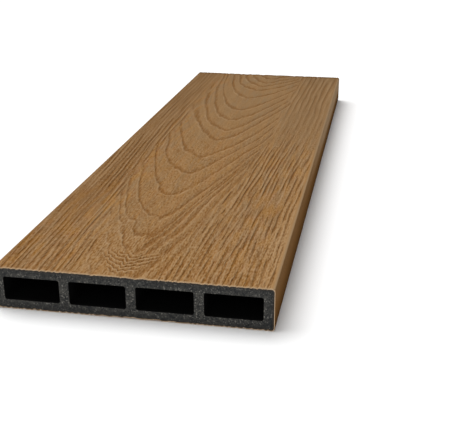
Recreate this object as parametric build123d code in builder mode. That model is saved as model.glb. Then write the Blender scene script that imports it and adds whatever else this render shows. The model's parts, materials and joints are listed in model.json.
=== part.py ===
"""Hollow composite fence board, cut to a short length and lying on its back face.

The board is one extrusion of two materials that leave the die together: a dark
core with four open cells, and a thin brown cap that covers it all the way round.
The saw cut shows both at the two ends.

X runs across the board, Y along it and Z through its thickness. The origin is the
centre of the back face. Sizes are in millimetres.
"""

import os

from build123d import *

# Outside of the board
board_width = 150.0
board_thickness = 24.0
board_length = 500.0
board_corner_radius = 2.0

# Cap, measured square to the face it covers
cap_thickness = 0.5

# Walls of the hollow section, each measured from the outside of the board
show_wall = 5.3
back_wall = 5.5
edge_wall = 5.8

# Cells and the webs between them
cell_count = 4
web_thickness = 5.2
cell_corner_radius = 1.2

# The cells share what the edge walls and the webs leave of the width
cell_span = board_width - 2 * edge_wall
cell_width = (cell_span - (cell_count - 1) * web_thickness) / cell_count
cell_height = board_thickness - show_wall - back_wall
cell_pitch = cell_width + web_thickness
cell_centre_height = back_wall + cell_height / 2

# The core fills the cap, so its outside follows the cap's inside
core_width = board_width - 2 * cap_thickness
core_thickness = board_thickness - 2 * cap_thickness
core_corner_radius = board_corner_radius - cap_thickness

# Cross-section planes, square to the length: one centred on the board, one on the cells
board_section = Plane(origin=(0, 0, board_thickness / 2), x_dir=(1, 0, 0), z_dir=(0, -1, 0))
cell_section = Plane(origin=(0, 0, cell_centre_height), x_dir=(1, 0, 0), z_dir=(0, -1, 0))


# Core: the dark hollow body, with its cells open at both ends
with BuildPart() as core:
    with BuildSketch(board_section):
        RectangleRounded(core_width, core_thickness, core_corner_radius)
    extrude(amount=board_length / 2, both=True)

    with BuildSketch(cell_section) as cells:
        with GridLocations(cell_pitch, 0, cell_count, 1):
            Rectangle(cell_width, cell_height)
        fillet(cells.vertices(), radius=cell_corner_radius)
    extrude(amount=board_length / 2, both=True, mode=Mode.SUBTRACT)

core.part.label = "core"


# Cap: the brown skin on the show face, the back face and both edges
with BuildPart() as cap:
    with BuildSketch(board_section) as skin:
        RectangleRounded(board_width, board_thickness, board_corner_radius)
        offset(amount=-cap_thickness, mode=Mode.SUBTRACT)
    extrude(amount=board_length / 2, both=True)

cap.part.label = "cap"


os.makedirs("parts", exist_ok=True)
export_step(core.part, "parts/core.step")
export_step(cap.part, "parts/cap.step")
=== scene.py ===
"""Hollow composite fence board: the embossed brown cap, the dark sawn core and a plain studio.

The file is laid out as an add-on. Each operator makes one part of the picture, and the
sidebar panel lists them in the order in which they are used.
"""

import json
import math

import bmesh
import bpy
from mathutils import Matrix, Vector


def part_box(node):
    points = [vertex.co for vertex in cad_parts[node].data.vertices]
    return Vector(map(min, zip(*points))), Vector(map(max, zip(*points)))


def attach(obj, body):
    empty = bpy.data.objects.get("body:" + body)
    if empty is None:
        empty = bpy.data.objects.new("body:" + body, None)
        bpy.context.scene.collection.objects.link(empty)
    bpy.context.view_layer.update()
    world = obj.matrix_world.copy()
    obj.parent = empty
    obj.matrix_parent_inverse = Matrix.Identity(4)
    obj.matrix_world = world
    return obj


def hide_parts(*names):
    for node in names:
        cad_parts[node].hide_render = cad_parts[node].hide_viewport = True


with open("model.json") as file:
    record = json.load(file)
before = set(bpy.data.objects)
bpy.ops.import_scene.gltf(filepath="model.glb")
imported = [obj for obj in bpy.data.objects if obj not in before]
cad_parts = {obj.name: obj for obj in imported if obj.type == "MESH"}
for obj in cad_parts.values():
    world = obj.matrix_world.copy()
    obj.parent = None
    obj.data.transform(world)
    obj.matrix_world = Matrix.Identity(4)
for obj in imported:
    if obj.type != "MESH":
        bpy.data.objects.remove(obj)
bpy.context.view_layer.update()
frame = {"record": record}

bl_info = {
    "name": "Composite Fence Board",
    "version": (1, 0, 0),
    "blender": (4, 5, 0),
    "location": "3D Viewport > Sidebar > Fence Board",
    "description": "Makes a hollow fence board with an embossed cap, its core and a studio",
    "category": "Add Mesh",
}

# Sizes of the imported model, in metres
CAP_LOW, CAP_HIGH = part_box("cap")
BOARD_WIDTH, BOARD_LENGTH, BOARD_THICKNESS = CAP_HIGH - CAP_LOW
CAP_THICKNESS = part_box("core")[0].z - CAP_LOW.z

# Each stated opening lies this far inside the walls of its cell
CELL_BOX_CLEARANCE = 0.0004
CELL_BOXES = [opening["box_m"] for opening in frame["record"]["physics"]["openings"]]
CELL_WIDTH = CELL_BOXES[0][1][0] - CELL_BOXES[0][0][0] + 2 * CELL_BOX_CLEARANCE
CELL_HEIGHT = CELL_BOXES[0][1][2] - CELL_BOXES[0][0][2] + 2 * CELL_BOX_CLEARANCE
CELL_PITCH = CELL_BOXES[1][0][0] - CELL_BOXES[0][0][0]
CELL_MIDDLE = (CELL_BOXES[0][1][2] + CELL_BOXES[0][0][2]) / 2

# Depth of the hidden joint between cap and core, away from the ends, below every groove
HIDDEN_DEPTH = 0.0012
# Length over which that joint comes up to the cap's real thickness at each end
HIDDEN_RAMP = 0.002
# Rows of the mesh: how far the close rows reach from the near end, their step and the step beyond
SHOW_ROWS = (0.036, 0.0008, 0.00167)
BACK_ROWS = (0.002, 0.001, 0.0022)
# Columns of the mesh on half an edge and round each corner, and steps round a cell's corner
EDGE_COLUMNS = 3
CORNER_COLUMNS = 4
CELL_CORNER_STEPS = 5
# Faces that meet at more than this angle, in degrees, keep a sharp edge between them
CAP_SHARP_ANGLE = 75
CORE_SHARP_ANGLE = 30

# Every length in a formula is in millimetres, and so are the lengths from here to the first class
MM = 0.001
WIDTH = BOARD_WIDTH / MM
LENGTH = BOARD_LENGTH / MM
THICKNESS = BOARD_THICKNESS / MM
SKIN = CAP_THICKNESS / MM

# Where the tip of each growth ring lies on the show face, from the near end
RING_TIPS = (7, 32, 49, 79, 124, 171, 209, 253, 281, 314, 351, 397, 426, 447, 465, 484, 503, 530)
# Rings whose tips would lie before the near end are this far apart
UNSEEN_RING_STEP = 41.0
UNSEEN_RINGS = 20
# Where the middle of the arcs lies across the board, at distances from the near end
PITH_PATH = (
    (0, 68.4), (60, 68.4), (130, 65.4), (210, 66.9), (258, 69.9),
    (353, 70.4), (398, 72.8), (440, 77.2), (500, 83.8),
)
# How steeply a ring's two arms run up from its tip, by the place of the tip
LEFT_SLOPES = (
    (-400, 1.8), (-60, 2.1), (20, 2.3), (80, 2.3), (140, 1.7), (200, 1.2),
    (260, 1.8), (320, 2.0), (360, 1.5), (400, 1.2), (440, 1.0), (530, 1.0),
)
RIGHT_SLOPES = (
    (-400, 3.5), (-60, 4.1), (20, 4.5), (80, 3.4), (140, 3.0),
    (200, 2.4), (260, 2.1), (360, 1.8), (400, 1.2), (530, 0.8),
)
# Local bumps of the rings: place aside from their middle, place along, reach both ways and height
RING_BUMPS = (
    (-1.0, 60, 3.5, 12, -7.0),
    (-1.0, 86, 4.0, 8, -5.0),
    (-9.0, 130, 4.0, 12, 6.0),
    (-12.0, 76, 4.0, 8, -7.0),
    (-20.0, 87, 4.0, 8, 5.0),
)
# Roundness of an arc's tip. Its arms are straight up to a distance from the middle, and flare beyond
ARC_TIP_RADIUS = 5.0
ARC_STRAIGHT_REACH = 10
ARC_FLARE = 0.047
# Where the arcs give way to straight grain at the left and at the right
LEFT_LIMIT = ((0, 46.0), (60, 41.0), (120, 33.0), (200, 28.0), (500, 28.0))
RIGHT_LIMIT = ((0, 87.0), (60, 94.0), (130, 103.0), (200, 109.0), (500, 111.0))
# The straight grain on either side of this place across the board has its own settings
GRAIN_MIDDLE = 65
# How far the straight grain leans outwards at the left and at the right
LEFT_LEAN = ((0, 0.0), (80, 3.6), (300, 11.3), (400, 12.5), (500, 13.0))
RIGHT_LEAN = ((0, 0.0), (40, 0.8), (240, 9.5), (500, 18.0))
# The tight wavy patch at the near end: spacing of its rings and roundness of their tips
PATCH_RING_STEP = 4.6
PATCH_TIP_RADIUS = 3.0

# The back face shows a drawn-out length of the same figure, deeper and with other noise
BACK_START = 60.0
BACK_STRETCH = 0.55
BACK_DEPTH = 1.3
BACK_LAYER = 40
# The relief starts at the first distance from the long edges, and is full from the second one on
RELIEF_START = 1.9
RELIEF_FULL = 3.2
# The core's outside lies within this distance of the long edges, or near a broad face
CORE_EDGE_MARGIN = 2.2
# The finish of a broad face starts at the first depth below it, and is full from the second one up
FACE_FINISH_START = 1.6
FACE_FINISH_FULL = 1.0
# Distances along the board over which the looks change to those of its far part
FAR_START = 150
FAR_FULL = 400


def feed(tree, socket, value):
    """Links a signal or an output to an input, or sets the input to a plain value."""
    value = getattr(value, "socket", value)
    if isinstance(value, bpy.types.NodeSocket):
        tree.links.new(value, socket)
    else:
        socket.default_value = value


def add_node(tree, kind, inputs=None, **settings):
    """Adds a node, feeds its inputs by name or number, and gives back its outputs."""
    node = tree.nodes.new(kind)
    for name, value in settings.items():
        setattr(node, name, value)
    for name, value in (inputs or {}).items():
        feed(tree, node.inputs[name], value)
    return node.outputs


def vector(tree, x=0.0, y=0.0, z=0.0):
    """A vector of three numbers or signals."""
    return add_node(tree, "ShaderNodeCombineXYZ", {0: x, 1: y, 2: z})[0]


class Signal:
    """A number that flows through a node tree. Arithmetic on it adds Math nodes."""

    def __init__(self, tree, socket):
        self.tree = tree
        self.socket = socket

    def node(self, kind, inputs=None, output=0, **settings):
        """One output of a new node in the signal's tree, as a signal."""
        return Signal(self.tree, add_node(self.tree, kind, inputs, **settings)[output])

    def maths(self, operation, *values):
        """The result of a Math node on signals and plain numbers."""
        return self.node("ShaderNodeMath", dict(enumerate(values)), operation=operation)

    def __add__(self, other):
        return self.maths("ADD", self, other)

    __radd__ = __add__

    def __sub__(self, other):
        return self.maths("SUBTRACT", self, other)

    def __rsub__(self, other):
        return self.maths("SUBTRACT", other, self)

    def __mul__(self, other):
        return self.maths("MULTIPLY", self, other)

    def __truediv__(self, other):
        return self.maths("DIVIDE", self, other)

    def __neg__(self):
        return self * -1.0

    def __abs__(self):
        return self.maths("ABSOLUTE", self)

    def larger(self, other):
        return self.maths("MAXIMUM", self, other)

    def smaller(self, other):
        return self.maths("MINIMUM", self, other)

    def above(self, level):
        """1 where the signal is over the level, and 0 elsewhere."""
        return self.maths("GREATER_THAN", self, level)

    def below(self, level):
        """1 where the signal is under the level, and 0 elsewhere."""
        return self.maths("LESS_THAN", self, level)

    def fraction(self):
        return self.maths("FRACT", self)

    def root(self):
        return self.maths("SQRT", self)

    def bell(self, width):
        """1 where the signal is 0, falling to nothing over about twice the width."""
        share = self / width
        return self.maths("EXPONENT", -(share * share))

    def rise(self, start, end):
        """0 up to start, 1 from end on, and a smooth step in between."""
        inputs = {"Value": self, "From Min": start, "From Max": end}
        return self.node("ShaderNodeMapRange", inputs, interpolation_type="SMOOTHSTEP")

    def fall(self, start, end):
        """1 up to start, 0 from end on, and a smooth step in between."""
        return 1.0 - self.rise(start, end)

    def blend(self, other, share):
        """This signal where share is 0, and the other one where it is 1."""
        return self + (other - self) * share


def noise(across, along, layer, detail=0.0):
    """Smooth noise between about -1 and 1, with features about one unit long in both directions."""
    inputs = {"Vector": vector(across.tree, across, along, layer), "Scale": 1.0, "Detail": detail}
    return across.node("ShaderNodeTexNoise", inputs) * 2.0 - 1.0


def waver(across, along, seed=0.0):
    """A function that gives noise with features so many millimetres wide and long, in any layer."""
    return lambda wide, long, layer: noise(across / wide, along / long, seed + layer)


SHAPE = "NodeSocketGeometry"
FINISH = "NodeSocketMaterial"
WHOLE = "NodeSocketInt"
NUMBER = "NodeSocketFloat"


def new_tree(name, kind, inputs, outputs):
    """An empty node group, the sockets of its input and those of its output.

    An input is given as its socket type, or as its default where it is a number.
    """
    tree = bpy.data.node_groups.new(name, kind)
    for label, given in inputs.items():
        if isinstance(given, str):
            tree.interface.new_socket(label, in_out="INPUT", socket_type=given)
            continue
        socket_type = WHOLE if isinstance(given, int) else NUMBER
        socket = tree.interface.new_socket(label, in_out="INPUT", socket_type=socket_type)
        socket.default_value = given
    for label, socket_type in outputs.items():
        tree.interface.new_socket(label, in_out="OUTPUT", socket_type=socket_type)
    return tree, add_node(tree, "NodeGroupInput"), tree.nodes.new("NodeGroupOutput").inputs


def signals(tree, sockets):
    """A signal for each socket."""
    return [Signal(tree, socket) for socket in sockets]


def split(tree, place):
    """The three numbers of a vector, as signals."""
    return signals(tree, add_node(tree, "ShaderNodeSeparateXYZ", {0: place}))


def put_out(tree, result, **values):
    """Links signals to the group outputs of the same names."""
    for name, value in values.items():
        feed(tree, result[name], value)


def along_curve(reach, points):
    """Follows a smooth curve through points, each a distance and a value."""
    places, values = zip(*points)
    first, span = places[0], places[-1] - places[0]
    least, height = min(values), max(values) - min(values)
    curve = reach.tree.nodes.new("ShaderNodeFloatCurve")
    drawn = curve.mapping.curves[0].points
    for _ in points[2:]:
        drawn.new(0.5, 0.5)
    for dot, (place, value) in zip(drawn, points):
        dot.location = ((place - first) / span, (value - least) / height)
        dot.handle_type = "AUTO_CLAMPED"
    curve.mapping.update()
    feed(reach.tree, curve.inputs["Value"], (reach - first) / span)
    return Signal(reach.tree, curve.outputs[0]) * height + least


def growth_rings(across, along, width, seed):
    """Nested arcs whose tips point to the near end, and each place's distance from their middle."""
    wavy = waver(across, along, seed)
    offset = across - along_curve(along, PITH_PATH) - noise(along / 60, 0, seed + 1.3) * 0.8
    aside = abs(offset)
    right = offset.above(0)
    front = along.fall(50, 130)
    fold = (offset * offset + ARC_TIP_RADIUS**2).root() - ARC_TIP_RADIUS
    bend = (aside - ARC_STRAIGHT_REACH).larger(0)
    flare = bend * bend * ARC_FLARE

    def steepness(tip):
        return along_curve(tip, LEFT_SLOPES).blend(along_curve(tip, RIGHT_SLOPES), right)

    # A first guess of the ring's tip gives the slope of its arms
    slope = steepness(along - steepness(along - aside * 2) * fold - flare)
    reach = along - slope * fold - flare
    for bump_aside, bump_along, reach_aside, reach_along, height in RING_BUMPS:
        bump = (offset - bump_aside).bell(reach_aside) * (along - bump_along).bell(reach_along)
        reach += bump * height
    # The rings wander, slowly over the whole face and most of all near its front
    wander = wavy(16, 50, 2.7) * 6 + wavy(4, 18, 3.1) * 3.0
    wander += wavy(1.4, 5, 3.9) * 1.1 + wavy(3.5, 14, 4.3) * front * 5
    counted = [(RING_TIPS[0] - UNSEEN_RING_STEP * UNSEEN_RINGS, 0)]
    counted += [(place, UNSEEN_RINGS + number) for number, place in enumerate(RING_TIPS)]
    rings = along_curve(reach + wander, counted)

    # Rings for each millimetre, square to the lines, so that every groove has its width in millimetres
    slope = slope * aside / (fold + ARC_TIP_RADIUS) + bend * (2 * ARC_FLARE)
    half_span = 3
    density = along_curve(reach + half_span, counted) - along_curve(reach - half_span, counted)
    crowding = (slope * slope + 1.0).root() * (density / (2 * half_span))
    # The grooves are deeper in some places than in others, and chipped along their sides
    strength = wavy(7, 40, 4.9) * 0.35 + 0.85
    strength = strength * (1.0 - front * aside.rise(8, 20) * (0.5 - right * 0.5))
    chipped = wavy(1.6, 6, 5.1).rise(-0.7, 0.1) * 0.4 + 0.6
    chipped = chipped * (wavy(0.9, 2.5, 5.7).rise(-0.6, 0.2) * 0.35 + 0.65)

    def lines(phase, wide):
        place = (rings + phase).fraction() - 0.5
        return place.bell(crowding * wide * width * (place.above(0) * 0.9 + 1.0))

    # Thin lines stand between the grooves where the arms of the arcs lie far apart
    between = offset.rise(18, 30) * 0.5 + (-offset).rise(20, 32) * 0.4
    between = between * crowding.fall(0.14, 0.24) * (1.0 - front)
    # The grooves widen towards the far end, and most at the tips
    tip = aside.fall(4, 26)
    wide = tip * (along.rise(100, 160) * 0.6 + 0.6) + along.rise(90, 170) * 0.45
    wide = wide + along.rise(260, 430) * (tip * 0.3 + 0.25) + right * front * 0.65 + 0.6
    grooves = lines(0.5, wide).larger(lines(0.0, 0.55) * between * (strength - 0.1)) * chipped
    # The crest stands beside each groove, on its outer side
    crest = ((rings + 0.5).fraction() - 0.5 + crowding * wide * 1.5).bell(crowding * 0.7)
    crest = crest * (wavy(3, 22, 4.5) * 1.6 + 1.0).larger(0.2) * (1.0 - right * front * 0.5)
    crest = crest * (1.0 - along.rise(100, 180) * (0.3 + aside.rise(20, 34) * 0.4))
    return grooves * strength * (1.0 + tip * front * 0.25), crest * chipped, offset


def straight_grain(across, along, width, seed):
    """Broken lines that run along the board beside the arcs, broader and softer at the far end."""
    wavy = waver(across, along, seed)
    right = across.above(GRAIN_MIDDLE)

    def sides(at_left, at_right):
        """One value at the left of the arcs, and another at the right."""
        return right * (at_right - at_left) + at_left

    lean = along_curve(along, LEFT_LEAN).blend(-along_curve(along, RIGHT_LEAN), right)
    course = across + lean + wavy(30, 160, 5.3) * 3 + wavy(5, 40, 6.1) + wavy(1.3, 3, 6.7) * 0.25

    def lines(step, evenness, fineness, length, layer):
        """Even lines a step apart, broken up by noise that is so fine and so long."""
        even = right.maths("COSINE", course * math.tau / step)
        return even * evenness + noise(course / fineness, along / length, seed + layer) * 1.2

    # Close lines at the near end, wider ones from the middle on and wider ones again at the far end
    line = lines(sides(3.0, 3.25), 0.6, 0.9, sides(48, 22), 7.7)
    line += wavy(0.7, 4, 7.1) * sides(0.15, 0.4)
    line = line.blend(lines(sides(3.35, 3.05), 0.7, 1.3, sides(88, 38), 8.7), along.rise(80, 150))
    line = line.blend(lines(sides(3.7, 4.8), 0.7, 1.5, 45, 9.3), along.rise(230, 320))

    # How deep the lines are, from the near end on
    left_strength = 1.0 + along.rise(210, 290) * 0.15 - along.rise(340, 400) * 0.5
    left_strength = left_strength * (0.92 + along.rise(60, 120) * 0.08)
    right_strength = 0.92 + along.rise(60, 120) * 0.08 + along.rise(40, 90) * 0.1
    right_strength = right_strength * (1.0 - along.rise(160, 250) * 0.42 + along.rise(320, 400) * 0.27)
    strength = (left_strength * 0.74).blend(right_strength * 0.83, right)
    strength = strength * (1.0 - along.rise(230, 340) * 0.35)
    return line.rise(0.15, 0.15 + width * 0.85) * strength, (-line).rise(0.15, 0.9) * strength


def near_patch(across, along, offset, width, seed):
    """Tight wavy rings close to the near end, and how much of the place they fill."""
    right = offset.above(0)
    fold = (offset * offset + PATCH_TIP_RADIUS**2).root() - PATCH_TIP_RADIUS
    shaken = along - fold * (1.25 - right * 0.4)
    shaken += waver(across, along, seed)(2.8, 22, 8.3) * (4.0 - right * offset.rise(2, 8) * 2.2)
    place = (shaken / PATCH_RING_STEP).fraction() - 0.5
    window = along.rise(3.0, 6.0) * along.fall(22.0, 38.0)
    window = window * (abs(offset) - along * 0.45).fall(1.0, 6.0)
    groove = place.bell((place.above(0) * 0.1 + 0.18) * width) * 1.3
    return groove * window, (place + 0.38).bell(0.15) * window * 1.8, window


def wood_figure_tree(name, kind):
    """Node group for the embossed figure, for geometry or for a finish.

    Depth runs from 0 on a crest to 1 in a groove. Groove and Crest mark each of them alone.
    """
    inputs = {"Across": 0.0, "Along": 0.0, "Line width": 1.0, "Seed": 0.0}
    tree, given, result = new_tree(name, kind, inputs, {"Depth": NUMBER, "Groove": NUMBER, "Crest": NUMBER})
    across, along, width, seed = signals(tree, given[:4])
    wavy = waver(across, along, seed)
    rings, ring_crest, offset = growth_rings(across, along, width, seed)
    straight, straight_crest = straight_grain(across, along, width, seed)
    patch, patch_crest, patch_share = near_patch(across, along, offset, width, seed)

    outside = (along_curve(along, LEFT_LIMIT) - across).larger(across - along_curve(along, RIGHT_LIMIT))
    outside += wavy(4, 30, 9.9) * 9
    arc_share = outside.fall(-4.0, 4.0) * (1.0 - patch_share)
    beside = outside.rise(-5.0, 2.0)
    ticks = wavy(0.8, 8, 11.5).rise(0.2, 0.7) * (beside * 0.2 + 0.15) * along.fall(200, 380)
    groove = ((rings * arc_share).larger(straight * beside).larger(patch) + ticks).smaller(1.0)
    crest = (ring_crest * arc_share).larger(straight_crest * beside).larger(patch_crest) * (1.0 - groove)
    rounding = wavy(4, 40, 12.1) * 0.5 + 0.5
    depth = (groove * 0.82 + rounding * 0.1 + (1.0 - crest) * 0.08).larger(0.0)
    put_out(tree, result, Depth=depth, Groove=groove, Crest=crest)


def figure_place(across, along, on_back, seed):
    """Across, along and seed of a place's figure, which the back carries mirrored and drawn out."""
    return (
        across.blend(WIDTH - across, on_back),
        along.blend(along * BACK_STRETCH + BACK_START, on_back),
        on_back * BACK_LAYER + seed,
    )


def board_place(tree):
    """A vertex's place as signals: across and along from the near left corner, and height."""
    position = split(tree, add_node(tree, "GeometryNodeInputPosition")[0])
    return [(place - low) / MM for place, low in zip(position, CAP_LOW)]


def emboss(tree, shape, depth, seed):
    """Presses the figure into the show face and the back face."""
    across, along, height = board_place(tree)
    on_back = height.below(THICKNESS / 2)
    place = dict(zip(("Across", "Along", "Seed"), figure_place(across, along, on_back, seed)))
    relief = bpy.data.node_groups["Wood relief"]
    figure = across.node("GeometryNodeGroup", place, "Depth", node_tree=relief)

    near_face = SKIN * 1.1
    edge_distance = WIDTH / 2 - abs(across - WIDTH / 2)
    faces = height.above(THICKNESS - near_face) + height.below(near_face)
    faces = faces * edge_distance.rise(RELIEF_START, RELIEF_FULL)
    deepened = on_back * (BACK_DEPTH - 1.0) + 1.0
    inward = on_back * 2 - 1
    offset = vector(tree, z=figure * faces * depth * deepened * inward)
    return add_node(tree, "GeometryNodeSetPosition", {"Geometry": shape, "Offset": offset})[0]


def painted(tree, shape, finish, selection=True):
    """Sets a material on the whole shape, or on the faces that the selection holds."""
    inputs = {"Geometry": shape, "Material": finish, "Selection": selection}
    return add_node(tree, "GeometryNodeSetMaterial", inputs)[0]


def sawn_faces(tree):
    """1 on the faces that look along the board, which the saw made."""
    _, along, _ = split(tree, add_node(tree, "GeometryNodeInputNormal")[0])
    nearly_straight = 0.9
    return abs(along).above(nearly_straight)


def put_out_realized(tree, result, shape):
    """Ends a tree: instances become real, and the shape is put out."""
    put_out(tree, result, Geometry=add_node(tree, "GeometryNodeRealizeInstances", {0: shape})[0])


def embossed_cap_tree(name, kind):
    """Node group that embosses one half of the cap and sorts its finishes."""
    inputs = {
        "Geometry": SHAPE,
        "Groove depth": 0.0005,
        "Seed": 0.0,
        "Face finish": FINISH,
        "Sawn finish": FINISH,
    }
    tree, given, result = new_tree(name, kind, inputs, {"Geometry": SHAPE})
    depth, seed = signals(tree, given[1:3])
    # The cuts are marked before the relief tilts any normal
    mark = {"Geometry": given["Geometry"], "Name": "sawn", "Value": sawn_faces(tree)}
    shape = add_node(tree, "GeometryNodeStoreNamedAttribute", mark, data_type="FLOAT", domain="FACE")[0]
    marked = depth.node("GeometryNodeInputNamedAttribute", {"Name": "sawn"}, data_type="FLOAT")
    shape = emboss(tree, shape, depth, seed)
    shape = painted(tree, shape, given["Face finish"])
    shape = painted(tree, shape, given["Sawn finish"], marked.above(0.5))
    put_out_realized(tree, result, shape)


def hollow_core_tree(name, kind):
    """Node group that makes the core from its outline: cells, sawn ends and the joint under the cap."""
    inputs = {
        "Outline": SHAPE,
        "Cells": len(CELL_BOXES),
        "Cell width": CELL_WIDTH,
        "Cell height": CELL_HEIGHT,
        "Cell pitch": CELL_PITCH,
        "Cell middle": CELL_MIDDLE,
        "Cell corner radius": 0.0012,
        "Length": BOARD_LENGTH,
        "Groove depth": 0.0005,
        "Seed": 0.0,
        "Cell finish": FINISH,
        "Sawn finish": FINISH,
    }
    tree, given, result = new_tree(name, kind, inputs, {"Geometry": SHAPE})
    cells, _, _, pitch, middle, _, length, depth, seed = signals(tree, given[1:10])

    def add(kind, inputs, **settings):
        return add_node(tree, "GeometryNode" + kind, inputs, **settings)[0]

    def turned(shape, angle, translation=(0, 0, 0)):
        rotation = (math.radians(angle), 0, 0)
        return add("Transform", {"Geometry": shape, "Rotation": rotation, "Translation": translation})

    def joined(*shapes):
        join = tree.nodes.new("GeometryNodeJoinGeometry")
        for shape in shapes:
            tree.links.new(shape, join.inputs[0])
        return join.outputs[0]

    # The row of cells, laid flat so that it can be filled
    cell = add("CurvePrimitiveQuadrilateral", {"Width": given["Cell width"], "Height": given["Cell height"]})
    rounding = {"Curve": cell, "Count": CELL_CORNER_STEPS, "Radius": given["Cell corner radius"]}
    rounded = add("FilletCurve", rounding, mode="POLY")
    start = vector(tree, (cells - 1.0) * pitch * -0.5, middle)
    row = add("MeshLine", {"Count": cells, "Start Location": start, "Offset": vector(tree, pitch)})
    placed = add("InstanceOnPoints", {"Points": row, "Instance": rounded})

    # The near end: the board's outline less the cells, stood up again
    outline = add("MeshToCurve", {0: turned(given["Outline"], -90)})
    section = joined(add("RealizeInstances", {0: placed}), outline)
    filled = add("FillCurve", {"Curve": section}, mode="TRIANGLES")
    near_end = turned(filled, 90, vector(tree, y=length * -0.5))

    # Three lengths of wall, the short ones for the ramps of the hidden joint
    shape, front = near_end, True
    for distance in (HIDDEN_RAMP, length - 2 * HIDDEN_RAMP, HIDDEN_RAMP):
        pull = {"Mesh": shape, "Selection": front, "Offset": vector(tree, y=1.0), "Offset Scale": distance}
        pull["Individual"] = False
        extruded = add_node(tree, "GeometryNodeExtrudeMesh", pull, mode="FACES")
        shape, front = extruded["Mesh"], extruded["Top"]
    welded = add("MergeByDistance", {"Geometry": joined(shape, near_end), "Distance": 1e-6})

    # Away from the ends the outside shrinks below the deepest groove
    across, along, height = board_place(tree)
    near_edge = abs(across - WIDTH / 2).above(WIDTH / 2 - CORE_EDGE_MARGIN)
    near_face = abs(height - THICKNESS / 2).above(THICKNESS / 2 - 2 * SKIN)
    hidden = abs(along - LENGTH / 2).below(LENGTH / 2 - HIDDEN_RAMP / MM / 2)
    hidden = hidden * near_edge.larger(near_face)

    def sunk(place, size):
        """How far a place moves towards the middle of the board, in metres."""
        share = (SKIN - HIDDEN_DEPTH / MM) / (size / 2 - SKIN)
        return (place - size / 2) * share * hidden * MM

    offset = vector(tree, sunk(across, WIDTH), 0.0, sunk(height, THICKNESS))
    shape = emboss(tree, add("SetPosition", {"Geometry": welded, "Offset": offset}), depth, seed)
    shape = painted(tree, shape, given["Cell finish"])
    shape = painted(tree, shape, given["Sawn finish"], sawn_faces(tree))
    put_out_realized(tree, result, shape)


def shaped_by(obj, tree, values):
    """Runs a node group on an object's mesh and keeps the result as the object's plain mesh."""
    modifier = obj.modifiers.new(tree.name, "NODES")
    modifier.node_group = tree
    for item in tree.interface.items_tree:
        if item.item_type == "SOCKET" and item.in_out == "INPUT" and item.name in values:
            modifier[item.identifier] = values[item.name]
    depsgraph = bpy.context.evaluated_depsgraph_get()
    base = obj.data
    obj.data = bpy.data.meshes.new_from_object(obj.evaluated_get(depsgraph), depsgraph=depsgraph)
    obj.modifiers.remove(modifier)
    obj.data.name = obj.name
    bpy.data.meshes.remove(base)


def shaded(obj, sharp_angle):
    """Turns every face outwards and shades smooth, but for the sharp edges."""
    mesh = bmesh.new()
    mesh.from_mesh(obj.data)
    bmesh.ops.recalc_face_normals(mesh, faces=mesh.faces)
    mesh.to_mesh(obj.data)
    mesh.free()
    obj.data.shade_smooth()
    obj.data.set_sharp_from_angle(angle=math.radians(sharp_angle))


def new_piece(name, vertices, edges, faces):
    """Puts an object with a plain mesh into the scene."""
    mesh = bpy.data.meshes.new(name)
    mesh.from_pydata(vertices, edges, faces)
    mesh.update()
    obj = bpy.data.objects.new(name, mesh)
    bpy.context.collection.objects.link(obj)
    return obj


def half_outline(column_step, upper, radius):
    """The board's outline from the middle of the left edge, over one face, to that of the right edge.

    Each point is its place across, its height and the outward direction there.
    """
    half_width, half_height = BOARD_WIDTH / 2, BOARD_THICKNESS / 2
    flat, straight = half_width - radius, half_height - radius
    points = []

    def corner(middle, start):
        """Adds the points of a rounded corner, a quarter turn from the start."""
        for step in range(CORNER_COLUMNS):
            turn = start - math.pi / 2 * step / CORNER_COLUMNS
            c, s = math.cos(turn), math.sin(turn)
            points.append((middle + radius * c, straight + radius * s, c, s))

    for step in range(EDGE_COLUMNS):
        points.append((-half_width, straight * step / EDGE_COLUMNS, -1.0, 0.0))
    corner(-flat, math.pi)
    face_columns = round(2 * flat / column_step)
    for step in range(face_columns):
        points.append((-flat + 2 * flat * step / face_columns, half_height, 0.0, 1.0))
    corner(flat, math.pi / 2)
    for step in range(EDGE_COLUMNS + 1):
        points.append((half_width, straight * (1 - step / EDGE_COLUMNS), 1.0, 0.0))
    side = 1 if upper else -1
    return [(x, half_height + side * z, nx, side * nz) for x, z, nx, nz in points]


def stations(close_length, close_step, step, arris):
    """Distances from the near end at which the cap has a row of vertices."""
    close_rows = round(close_length / close_step)
    rest = BOARD_LENGTH - 2 * arris - close_length
    rows = round(rest / step)
    places = [0.0, arris]
    places += [arris + close_length * row / close_rows for row in range(1, close_rows + 1)]
    places += [arris + close_length + rest * row / rows for row in range(1, rows + 1)]
    return places + [BOARD_LENGTH]


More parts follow.
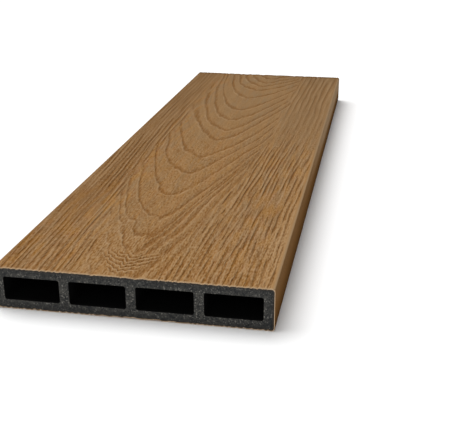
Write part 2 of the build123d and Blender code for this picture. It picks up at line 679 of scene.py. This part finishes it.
def cap_half(name, upper, column_step, rows, radius, arris):
    """One half of the cap as a closed shell: the outside in full, the hidden inside in four rows."""
    outline = half_outline(column_step, upper, radius)
    count = len(outline)
    vertices, faces = [], []

    def add_row(station, depth):
        """Adds a row of vertices that lies so deep, and gives back the number of its first one."""
        start = len(vertices)
        for x, z, nx, nz in outline:
            vertices.append((x - nx * depth, CAP_LOW.y + station, z - nz * depth))
        return start

    def skin(first, second):
        """Adds the faces between two rows."""
        for column in range(count - 1):
            faces.append((first + column, first + column + 1, second + column + 1, second + column))

    ends = (rows[0], rows[-1])
    outer = [add_row(row, arris if row in ends else 0.0) for row in rows]
    inner_rows = (
        (0.0, CAP_THICKNESS),
        (HIDDEN_RAMP, HIDDEN_DEPTH),
        (BOARD_LENGTH - HIDDEN_RAMP, HIDDEN_DEPTH),
        (BOARD_LENGTH, CAP_THICKNESS),
    )
    inner = [add_row(row, depth) for row, depth in inner_rows]
    for surface in (outer, inner):
        for first, second in zip(surface, surface[1:]):
            skin(first, second)
    skin(outer[0], inner[0])
    skin(outer[-1], inner[-1])
    for column in (0, count - 1):
        faces.append([start + column for start in outer] + [start + column for start in reversed(inner)])
    piece = new_piece(name, vertices, [], faces)
    # 1 on the outside and 0 on the inside, for the finish of the sawn rim
    rind = piece.data.attributes.new("rind", "FLOAT", "POINT")
    rind.data.foreach_set("value", [1.0] * (count * len(outer)) + [0.0] * (count * len(inner)))
    return piece


def core_outline(column_steps, radius):
    """The core's outline as a closed loop, with the same points as the inside of the cap."""
    upper = half_outline(column_steps[0], True, radius)
    lower = half_outline(column_steps[1], False, radius)
    loop = upper + lower[-2:0:-1]
    vertices = [(x - nx * CAP_THICKNESS, 0.0, z - nz * CAP_THICKNESS) for x, z, nx, nz in loop]
    edges = [(number, (number + 1) % len(loop)) for number in range(len(loop))]
    return new_piece("core_body", vertices, edges, [])


class Finish:
    """A material in the making. Its colour and its relief are laid on in steps."""

    def __init__(self, name, look):
        self.material = bpy.data.materials.new(name)
        self.material.use_nodes = True
        self.tree = self.material.node_tree
        self.look = look
        self.colour = None
        self.normal = None
        place = add_node(self.tree, "ShaderNodeTexCoord")["Object"]
        self.across, self.along, self.height = (number / MM for number in split(self.tree, place))

    def group(self, name, **values):
        """The outputs of a shader group at this place, with values for its other inputs."""
        node = self.tree.nodes.new("ShaderNodeGroup")
        node.node_tree = bpy.data.node_groups[name]
        values = {"across": self.across, "along": self.along, "height": self.height, **values}
        for socket in node.inputs:
            key = socket.name.lower().replace(" ", "_")
            if key in values:
                feed(self.tree, socket, values[key])
        return signals(self.tree, node.outputs)

    def mixed(self, first, second, share):
        """A colour between two, each the name of a setting, a plain colour or a colour signal."""
        inputs = {0: share}
        for number, value in ((6, first), (7, second)):
            inputs[number] = (*getattr(self.look, value), 1.0) if isinstance(value, str) else value
        return share.node("ShaderNodeMix", inputs, 2, data_type="RGBA")

    def tint(self, colour, share):
        """Lays a colour over what is there."""
        self.colour = self.mixed(self.colour, colour, share)

    def bump(self, height, distance):
        """Adds fine relief to what is there. The distance is in metres."""
        inputs = {"Distance": distance, "Height": height}
        if self.normal:
            inputs["Normal"] = self.normal
        self.normal = height.node("ShaderNodeBump", inputs)

    def done(self, roughness, gloss=0.5):
        """Hands the colour, the relief and the shine to the shader."""
        inputs = self.tree.nodes["Principled BSDF"].inputs
        feed(self.tree, inputs["Base Color"], self.colour)
        feed(self.tree, inputs["Roughness"], roughness)
        feed(self.tree, inputs["Normal"], self.normal)
        inputs["Specular IOR Level"].default_value = gloss
        return self.material


def streaks_group(name, kind):
    """Shader group for streaks drawn out along the board, in two sizes."""
    inputs = {"Across": 0.0, "Along": 0.0, "Height": 0.0, "Width": 6.0, "Length": 90.0}
    tree, given, result = new_tree(name, kind, inputs, {"Streak": NUMBER, "Fibre": NUMBER})
    across, along, height, width, length = signals(tree, given[:5])
    # A fibre is this many times as thin and as short as a streak
    thinner, shorter = 6.0, 4.0
    broad = noise(across / width, along / length, height / width, detail=2.0)
    fine = noise(across * thinner / width, along * shorter / length, height * thinner / width, detail=1.0)
    put_out(tree, result, Streak=broad * 0.5 + 0.5, Fibre=fine * 0.5 + 0.5)


def grit_group(name, kind):
    """Shader group for the fine tooth of the plastic and its sparse pale specks."""
    inputs = {"Across": 0.0, "Along": 0.0, "Height": 0.0, "Grain": 0.6, "Speck start": 0.35}
    tree, given, result = new_tree(name, kind, inputs, {"Tooth": NUMBER, "Specks": NUMBER})
    across, along, height, grain, start = signals(tree, given[:5])
    # Specks are a little larger than the tooth, and come from another layer of noise
    larger, layer = 0.8, 31.0
    tooth = noise(across / grain, along / grain, height / grain, detail=2.0)
    coarse = noise(across / grain * larger, along / grain * larger, height / grain * larger + layer)
    put_out(tree, result, Tooth=tooth * 0.5 + 0.5, Specks=coarse.rise(start, start + 0.2))


def cap_streaks(paint, across, along, far):
    """The mottled browns of the cap. Gives back its fine streaks, which are relief as well."""
    other_layer = paint.height + 60.0
    broad, fibre = paint.group("Streaks", width=6.0, length=95.0)
    patch, hair = paint.group("Streaks", width=11.0, length=160.0)
    blotch, fleck = paint.group("Streaks", width=8.0, length=48.0, height=other_layer)
    _, wisp = paint.group("Streaks", width=14.0, length=150.0, height=other_layer)
    paint.colour = paint.mixed("tan", "umber", broad.rise(0.3, 0.7) * 0.64 + 0.18)
    glow = (patch * 0.5 + wisp * 0.5).rise(0.48, 0.66)
    paint.tint("russet", glow * 0.35)
    paint.tint("ochre", glow * 0.25)
    # Greyer streaks, and a painted sheen that greys the far part of the face
    paint.tint("dun", (blotch * 0.6 + hair * 0.4).rise(0.46, 0.64) * 0.5 + far * 0.4 + 0.12)
    paint.tint("ochre", fleck.rise(0.5, 0.7) * (1.0 - far) * 0.42)
    paint.tint("umber", fibre.rise(0.45, 0.8) * 0.3)
    # Thin red, golden and grey slivers, more of them towards the sides
    outer = abs(paint.across).rise(25, 50) * (0.85 - paint.across.above(0) * 0.35) + 0.1
    wavy = waver(across, along)
    sliver = wavy(3.4, 24, 8.0)
    paint.tint("russet", wavy(2.4, 14, 10.0).rise(0.05, 0.4) * outer * 0.5)
    paint.tint("ochre", sliver.rise(0.0, 0.3) * (1.0 - far * 0.6) * outer * 0.8)
    paint.tint("dun", (-sliver).rise(0.0, 0.3) * (1.0 - far * 0.5) * outer * 0.6)
    return fibre, hair


def cap_zones(paint, across, along, far):
    """Slow changes of the brown from one part of the face to another, and painted shade before the far cut.
    """
    left_band = across.fall(18, 34) * (along.rise(20, 130) * (across.rise(0, 9) * 0.1 + 0.3) + 0.3)
    right_band = across.rise(136, 142) * along.fall(80, 200)
    right_strip = across.rise(108, 124) * across.fall(138, 142)
    far_right = across.rise(104, 124) * along.rise(180, 320)
    paint.tint("edge", left_band)
    paint.tint("tan", right_band)
    paint.tint("pale", right_band * along.fall(50, 100) * 0.2)
    paint.tint("tan", (across - 70).bell(16) * along.fall(40, 80) * 0.4)
    paint.tint("ochre", along.fall(15, 60) * (across.rise(60, 140) * 0.14 + 0.12))
    paint.tint("dun", (far_right * 1.3 + along.rise(30, 240) * left_band) * 0.5)
    paint.tint("umber", far_right * 0.35)
    # Darker, greyer patches at the far left, the far right and along the right strip, and painted shade over
    # the last stretch before the far cut
    darkening_and_far_shade = far_right * 0.04 + far * across.fall(14, 26) * 0.1 + right_strip * along.rise(50, 110) * 0.06
    darkening_and_far_shade += along.rise(440, 490) * (across.rise(60, 110) * 0.08 + 0.05)
    paint.tint("smear", darkening_and_far_shade)


def cap_borders(paint, across, along, face_height, faces, edge_distance, hair):
    """The smooth edges, with painted shade at their foot and a painted sheen higher up, and thin lines of
    painted highlight and painted shade that border the faces.
    """
    # Painted shade darkens the long edges towards their foot
    foot = paint.mixed("foot", "edge", paint.height.rise(1, 15))
    # Painted sheen: the edges grow paler and greyer upwards, most towards the far end of the right one
    sheen_reach = along.rise(120, 360) * paint.across.above(0) * (hair * 0.4 + 0.5)
    painted_sheen = (paint.height + sheen_reach * 5).rise(11, 20) * (sheen_reach + 0.12)
    side = paint.mixed(foot, "pale", painted_sheen)
    side = paint.mixed(side, "speck", painted_sheen * sheen_reach * 0.15)
    # The long edges take the edge brown, which is darker than the faces as painted shade
    paint.tint(side, edge_distance.fall(0.2, 1.0))
    # A painted highlight runs along each corner and round the near cut, and painted shade along the far cut
    corner = (face_height + 0.5).bell(0.42) * edge_distance.fall(1.3, 2.2)
    paint.tint("pale", corner.larger(faces * along.fall(0.4, 1.4)) * 0.85)
    far_rim = (along + noise(across / 5, 0.0, 9.0) * 4).rise(LENGTH - 9, LENGTH - 2)
    paint.tint("foot", far_rim * (across.rise(80, 115) * 0.2 + 0.5) * faces)
    # Painted shade along the left corner of the show face
    left_corner = (across - 0.5).bell(0.9) * paint.height.rise(THICKNESS - 4, THICKNESS - 1.5)
    paint.tint("foot", left_corner * 0.85)


def brown_cap_finish(look, seed):
    """Matte brown of the embossed faces and the plain edges.

    Distances are in millimetres from the near left corner, and shares lie between 0 and 1.
    """
    paint = Finish("brown_cap", look)
    across, along = paint.across + WIDTH / 2, paint.along + LENGTH / 2
    far = along.rise(FAR_START, FAR_FULL)
    fibre, hair = cap_streaks(paint, across, along, far)
    cap_zones(paint, across, along, far)

    # The same figure as in the mesh, seen again at full sharpness
    on_back = paint.height.below(THICKNESS / 2)
    figure = dict(zip(("across", "along", "seed"), figure_place(across, along, on_back, seed)))
    _, groove, crest = paint.group("Wood figure", line_width=0.8, **figure)
    # Height over the nearer face, and distance from the nearer edge
    face_height = abs(paint.height - THICKNESS / 2) - THICKNESS / 2
    edge_distance = WIDTH / 2 - abs(paint.across)
    faces = face_height.rise(-FACE_FINISH_START, -FACE_FINISH_FULL)
    flat = faces * edge_distance.rise(1.7, 2.8)
    groove, crest = groove * flat, crest * flat

    wavy = waver(across, along)
    near_left = across.fall(30, 50) * along.fall(100, 160)
    pores = wavy(0.85, 2.8, 5.0) * 1.2 + wavy(0.9, 14, 6.0) * 0.7
    pores = pores * (1.35 - along.rise(30, 90) * 0.45 - far * 0.5 - near_left * 0.25)
    paint.tint("groove", pores.rise(0.0, 0.75) * flat * 0.5)
    paint.tint("pale", (-pores).rise(0.05, 0.75) * flat * 0.4)
    # Painted highlight on the crest beside each groove, and painted shade in the grooves
    paint.tint("pale", crest * 0.45)
    paint.tint("groove", groove.rise(0.1, 0.9) * 0.46)
    cap_borders(paint, across, along, face_height, faces, edge_distance, hair)

    tooth, _ = paint.group("Grit", grain=0.7)
    paint.bump(-groove - pores * flat * 0.35, 0.00025)
    paint.bump(fibre * 0.5 + hair * 0.5, 0.0001)
    paint.bump(tooth, 0.0001)
    return paint.done(0.78 + groove * 0.15 - fibre * 0.05, gloss=0.0)


def saw_lines(paint):
    """Fine marks that the saw blade left on a cut, nearly upright."""
    lean = paint.across + paint.height * 0.25
    return noise(lean / 0.5, paint.height / 9, 3.0, detail=1.0)


def sawn_cap_finish(look):
    """The cap's own thickness where the saw cut it: pale, brightened into a painted highlight along the
    arris, chipped and dark underneath.
    """
    paint = Finish("sawn_cap", look)
    tooth, specks = paint.group("Grit", grain=0.5)
    upper = paint.height.rise(THICKNESS - FACE_FINISH_START, THICKNESS - FACE_FINISH_FULL)
    upper = upper * (WIDTH / 2 - abs(paint.across)).rise(1.8, 2.6)
    rind = tooth.node("ShaderNodeAttribute", output="Fac", attribute_name="rind") + tooth * 0.3 - 0.15
    notch = noise(paint.across / 1.3, 0.0, 7.0) * 0.7
    # Pale at the outside, with painted highlight, and dark brown inside; along the top face the pale part is
    # thinner and notched
    rind = rind.rise(0.0, 0.3).blend((rind + notch).rise(0.4, 0.65), upper)
    paint.colour = paint.mixed("smear", "sawn", rind)
    paint.tint("speck", specks * rind * 0.5)
    paint.bump(tooth + saw_lines(paint) * 0.4, 0.0001)
    return paint.done(0.75 - tooth * 0.1)


def sawn_core_finish(look):
    """Charcoal composite where the saw cut it, with pale specks of filler."""
    paint = Finish("sawn_core", look)
    tooth, specks = paint.group("Grit", grain=0.7, speck_start=0.3)
    fine, _ = paint.group("Grit", grain=0.35)
    blotch, _ = paint.group("Grit", grain=2.4)
    paint.colour = paint.mixed("charcoal", "slate", (tooth * 0.6 + blotch * 0.4).rise(0.38, 0.62))
    paint.tint("charcoal", fine.rise(0.45, 0.65) * 0.6)
    paint.tint("speck", specks * 0.35)
    # Darker towards the core's border, and dark brown right under the cut cap
    inside = THICKNESS / 2 - abs(paint.height - THICKNESS / 2)
    inside = inside.smaller(WIDTH / 2 - abs(paint.across))
    paint.tint("charcoal", inside.fall(2.0, 5.5) * 0.45)
    paint.tint("smear", (inside + tooth).fall(0.9, 2.4) * 0.8)
    paint.bump(tooth + fine * 0.6 + saw_lines(paint) * 0.5, 0.00015)
    return paint.done(0.7 - specks * 0.1, gloss=0.2)


def cell_wall_finish(look):
    """The extruded inside of a cell, smoother than the cut, and blacker as painted shade in the hollow."""
    paint = Finish("cell_wall", look)
    broad, fibre = paint.group("Streaks", width=3.0, length=80.0)
    paint.colour = paint.mixed("cell", "charcoal", broad.rise(0.6, 0.95) * 0.1)
    paint.bump(fibre, 0.00008)
    return paint.done(0.6 - broad * 0.1, gloss=0.1)


def studio_floor_finish(studio):
    """Pale matte floor with a barely uneven tone."""
    paint = Finish("studio_floor", studio)
    tooth, _ = paint.group("Grit", grain=90.0)
    slightly_darker = (*Vector(studio.floor_colour) * 0.985, 1.0)
    paint.colour = paint.mixed("floor_colour", slightly_darker, tooth)
    paint.bump(tooth, 0.0001)
    return paint.done(0.9 - tooth * 0.02)


def shared_groups():
    """Builds each node group once."""
    for name, kind, build in (
        ("Wood relief", "GeometryNodeTree", wood_figure_tree),
        ("Wood figure", "ShaderNodeTree", wood_figure_tree),
        ("Embossed cap", "GeometryNodeTree", embossed_cap_tree),
        ("Hollow core", "GeometryNodeTree", hollow_core_tree),
        ("Streaks", "ShaderNodeTree", streaks_group),
        ("Grit", "ShaderNodeTree", grit_group),
    ):
        if name not in bpy.data.node_groups:
            build(name, kind)


def shared_finish(name, build, *settings):
    """The finish of that name, which is built at its first use."""
    return bpy.data.materials.get(name) or build(*settings)


def number_setting(name, description, default, unit="NONE"):
    """A number that the user can change."""
    return bpy.props.FloatProperty(name=name, description=description, default=default, unit=unit)


def colour_setting(name, description, default):
    """A colour that the user can change."""
    return bpy.props.FloatVectorProperty(
        name=name, description=description, default=default, subtype="COLOR"
    )


class FenceBoardShape(bpy.types.PropertyGroup):
    """Sizes that the frame doesn't fix."""

    corner_radius: number_setting("Corner Radius", "Radius of the long outer edges", 0.002, "LENGTH")
    cell_corner_radius: number_setting("Cell Corner Radius", "Radius inside the cells", 0.0012, "LENGTH")
    cut_arris: number_setting("Cut Arris", "Width of the broken edge of each cut", 0.0002, "LENGTH")
    groove_depth: number_setting("Groove Depth", "Depth of the embossed wood figure", 0.00062, "LENGTH")
    show_columns: number_setting("Show Face Columns", "Mesh spacing on the show face", 0.00052, "LENGTH")
    back_columns: number_setting("Back Face Columns", "Mesh spacing on the back face", 0.00075, "LENGTH")
    seed: bpy.props.IntProperty(
        name="Figure Seed", description="Changes the wander of the wood figure", default=3
    )


class FenceBoardLook(bpy.types.PropertyGroup):
    """Colours of the board."""

    tan: colour_setting("Tan", "Lightest brown of the cap", (0.272, 0.155, 0.065))
    umber: colour_setting("Umber", "Main brown of the cap", (0.21, 0.115, 0.046))
    russet: colour_setting("Russet", "Reddish streaks in the cap", (0.252, 0.116, 0.051))
    # Also the painted highlights on the crests, the corners and the near cut, and the painted sheen of the
    # edges
    pale: colour_setting("Pale", "Rubbed crests of the cap", (0.36, 0.238, 0.132))
    # Also painted shade in the grooves
    groove: colour_setting("Groove", "Brown at the bottom of the grooves", (0.115, 0.036, 0.001))
    # Also the painted sheen that greys the far part of the face
    dun: colour_setting("Dun", "Greyer streaks in the cap", (0.215, 0.136, 0.07))
    ochre: colour_setting("Ochre", "Golden flecks in the cap", (0.29, 0.146, 0.042))
    # Darker than the faces, as painted shade on the long edges; the left band of the show face is tinted
    # with it too
    edge: colour_setting("Edge", "Brown of the smooth long edges", (0.168, 0.081, 0.027))
    # Painted shade: the foot of the long edges, the far cut and the left corner
    foot: colour_setting("Foot", "Dark brown at the foot of the long edges", (0.105, 0.05, 0.016))
    # Paler than the cut alone, to paint the highlight along the arris
    sawn: colour_setting("Sawn Cap", "Pale brown of the cut cap", (0.6, 0.42, 0.26))
    # Also greys the far parts of the face and paints shade before the far cut
    smear: colour_setting("Smear", "Dark brown under the cut cap", (0.03, 0.021, 0.014))
    charcoal: colour_setting("Charcoal", "Main grey of the sawn core", (0.012, 0.013, 0.0135))
    slate: colour_setting("Slate", "Lighter grey of the sawn core", (0.074, 0.071, 0.062))
    speck: colour_setting("Speck", "Pale filler in the core", (0.36, 0.34, 0.3))
    # Blacker than the charcoal, as painted shade in the hollow cells
    cell: colour_setting("Cell", "Black inside the cells", (0.004, 0.004, 0.004))


class FenceBoardStudio(bpy.types.PropertyGroup):
    """Light, floor and camera."""

    floor_colour: colour_setting("Floor", "Colour of the floor", (0.9, 0.9, 0.9))
    sky_strength: number_setting("Sky", "Strength of the even light all round", 0.32)
    backdrop_strength: number_setting("Backdrop", "Brightness of the plain backdrop", 1.1)
    key_strength: number_setting("Key", "Strength of the large soft light at the upper left", 3.3)
    fill_power: number_setting("Fill", "Power of the light near the camera", 6.0, "POWER")
    lens: number_setting("Lens", "Focal length of the camera, in millimetres", 66.526)


class FENCEBOARD_OT_cap(bpy.types.Operator):
    """Makes the embossed brown cap in two halves that meet along the edges"""

    bl_idname = "fence_board.cap"
    bl_label = "Make Cap"

    def execute(self, context):
        shape, look = context.scene.fence_board_shape, context.scene.fence_board_look
        shared_groups()
        values = {
            "Groove depth": shape.groove_depth,
            "Seed": float(shape.seed),
            "Face finish": shared_finish("brown_cap", brown_cap_finish, look, float(shape.seed)),
            "Sawn finish": shared_finish("sawn_cap", sawn_cap_finish, look),
        }
        for name, upper, columns, rows in (
            ("cap_show_half", True, shape.show_columns, SHOW_ROWS),
            ("cap_back_half", False, shape.back_columns, BACK_ROWS),
        ):
            places = stations(*rows, shape.cut_arris)
            piece = cap_half(name, upper, columns, places, shape.corner_radius, shape.cut_arris)
            shaped_by(piece, bpy.data.node_groups["Embossed cap"], values)
            shaded(piece, CAP_SHARP_ANGLE)
            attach(piece, "root")
            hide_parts("cap")
        return {"FINISHED"}


class FENCEBOARD_OT_core(bpy.types.Operator):
    """Makes the dark core with its row of open cells and sawn ends"""

    bl_idname = "fence_board.core"
    bl_label = "Make Core"

    def execute(self, context):
        shape, look = context.scene.fence_board_shape, context.scene.fence_board_look
        shared_groups()
        piece = core_outline((shape.show_columns, shape.back_columns), shape.corner_radius)
        values = {
            "Cell corner radius": shape.cell_corner_radius,
            "Groove depth": shape.groove_depth,
            "Seed": float(shape.seed),
            "Cell finish": shared_finish("cell_wall", cell_wall_finish, look),
            "Sawn finish": shared_finish("sawn_core", sawn_core_finish, look),
        }
        shaped_by(piece, bpy.data.node_groups["Hollow core"], values)
        if not piece.data.polygons:
            raise RuntimeError("the core's section wasn't filled")
        shaded(piece, CORE_SHARP_ANGLE)
        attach(piece, "root")
        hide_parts("core")
        return {"FINISHED"}


# The camera's place in metres and its turns in degrees: heading from +Y, tilt down and roll
CAMERA_PLACE = (0.120381, -0.616349, 0.20861)
CAMERA_HEADING = 9.772
CAMERA_TILT = 21.8396
CAMERA_ROLL = 0.2347
CAMERA_SHIFT = -0.035
# Width of the camera's sensor, in millimetres
SENSOR_WIDTH = 36.0
# Nothing nearer to the camera than this, in metres, is seen
NEAREST_SEEN = 0.01

# Where the large soft light comes from, and how wide it looks from the board, in degrees
KEY_DIRECTION = (-0.45, 0.28, 0.95)
KEY_WIDTH = 60
# Place and size of the light near the camera, and how far the floor reaches each way, in metres
FILL_PLACE = (0.1, -1.6, 0.75)
FILL_SIZE = 1.0
FLOOR_REACH = 10.0


def new_light(name, kind, place, energy, **settings):
    """A lamp that looks from its place to the top of the board."""
    data = bpy.data.lights.new(name, kind)
    data.energy = energy
    for setting, value in settings.items():
        setattr(data, setting, value)
    light = bpy.data.objects.new(name, data)
    light.location = place
    gaze = Vector((0, 0, BOARD_THICKNESS)) - Vector(place)
    light.rotation_euler = gaze.to_track_quat("-Z", "Y").to_euler()
    bpy.context.collection.objects.link(light)


def new_camera(lens):
    """The camera at its place, which looks along the board from above its near end."""
    data = bpy.data.cameras.new("camera")
    data.sensor_width = SENSOR_WIDTH
    data.lens = lens
    data.shift_x = CAMERA_SHIFT
    data.clip_start = NEAREST_SEEN
    camera = bpy.data.objects.new("camera", data)
    camera.matrix_world = Matrix.Translation(CAMERA_PLACE)
    for angle, axis in ((CAMERA_HEADING, "Z"), (90 - CAMERA_TILT, "X"), (CAMERA_ROLL, "Z")):
        camera.matrix_world = camera.matrix_world @ Matrix.Rotation(math.radians(angle), 4, axis)
    bpy.context.collection.objects.link(camera)
    return camera


def new_sky(seen_strength, light_strength):
    """A white backdrop as bright as the floor, which lights the board less than it shows."""
    world = bpy.data.worlds.new("studio_light")
    world.use_nodes = True
    tree = world.node_tree
    seen = add_node(tree, "ShaderNodeLightPath")["Is Camera Ray"]
    strengths = {"Value": seen, "To Min": light_strength, "To Max": seen_strength}
    background = tree.nodes["Background"].inputs
    feed(tree, background["Color"], (1, 1, 1, 1))
    feed(tree, background["Strength"], add_node(tree, "ShaderNodeMapRange", strengths)[0])
    return world


class FENCEBOARD_OT_stage(bpy.types.Operator):
    """Makes the pale floor, the soft light and the camera"""

    bl_idname = "fence_board.stage"
    bl_label = "Make Studio"

    def execute(self, context):
        scene, studio = context.scene, context.scene.fence_board_studio
        shared_groups()
        signs = ((-1, -1), (1, -1), (1, 1), (-1, 1))
        corners = [(x * FLOOR_REACH, y * FLOOR_REACH, CAP_LOW.z) for x, y in signs]
        floor = new_piece("studio_floor", corners, [], [(0, 1, 2, 3)])
        floor.data.materials.append(shared_finish("studio_floor", studio_floor_finish, studio))
        scene.world = new_sky(studio.backdrop_strength, studio.sky_strength)
        new_light("key_light", "SUN", KEY_DIRECTION, studio.key_strength, angle=math.radians(KEY_WIDTH))
        new_light("fill_light", "AREA", FILL_PLACE, studio.fill_power, shape="SQUARE", size=FILL_SIZE)
        scene.camera = new_camera(studio.lens)
        scene.view_settings.view_transform = "Standard"
        return {"FINISHED"}


class FENCEBOARD_PT_panel(bpy.types.Panel):
    """Lists the operators and their settings"""

    bl_label = "Fence Board"
    bl_idname = "FENCEBOARD_PT_panel"
    bl_space_type = "VIEW_3D"
    bl_region_type = "UI"
    bl_category = "Fence Board"

    def draw(self, context):
        for operator in (FENCEBOARD_OT_cap, FENCEBOARD_OT_core, FENCEBOARD_OT_stage):
            self.layout.operator(operator.bl_idname)
        for group in SETTINGS:
            settings = getattr(context.scene, group)
            box = self.layout.box()
            for name in settings.__annotations__:
                box.prop(settings, name)


SETTINGS = {
    "fence_board_shape": FenceBoardShape,
    "fence_board_look": FenceBoardLook,
    "fence_board_studio": FenceBoardStudio,
}
CLASSES = (
    *SETTINGS.values(),
    FENCEBOARD_OT_cap,
    FENCEBOARD_OT_core,
    FENCEBOARD_OT_stage,
    FENCEBOARD_PT_panel,
)


def register():
    for cls in CLASSES:
        bpy.utils.register_class(cls)
    for name, cls in SETTINGS.items():
        setattr(bpy.types.Scene, name, bpy.props.PointerProperty(type=cls))


def unregister():
    for name in SETTINGS:
        delattr(bpy.types.Scene, name)
    for cls in reversed(CLASSES):
        bpy.utils.unregister_class(cls)


def main():
    register()
    bpy.ops.fence_board.cap()
    bpy.ops.fence_board.core()
    bpy.ops.fence_board.stage()


if __name__ == "__main__":
    main()
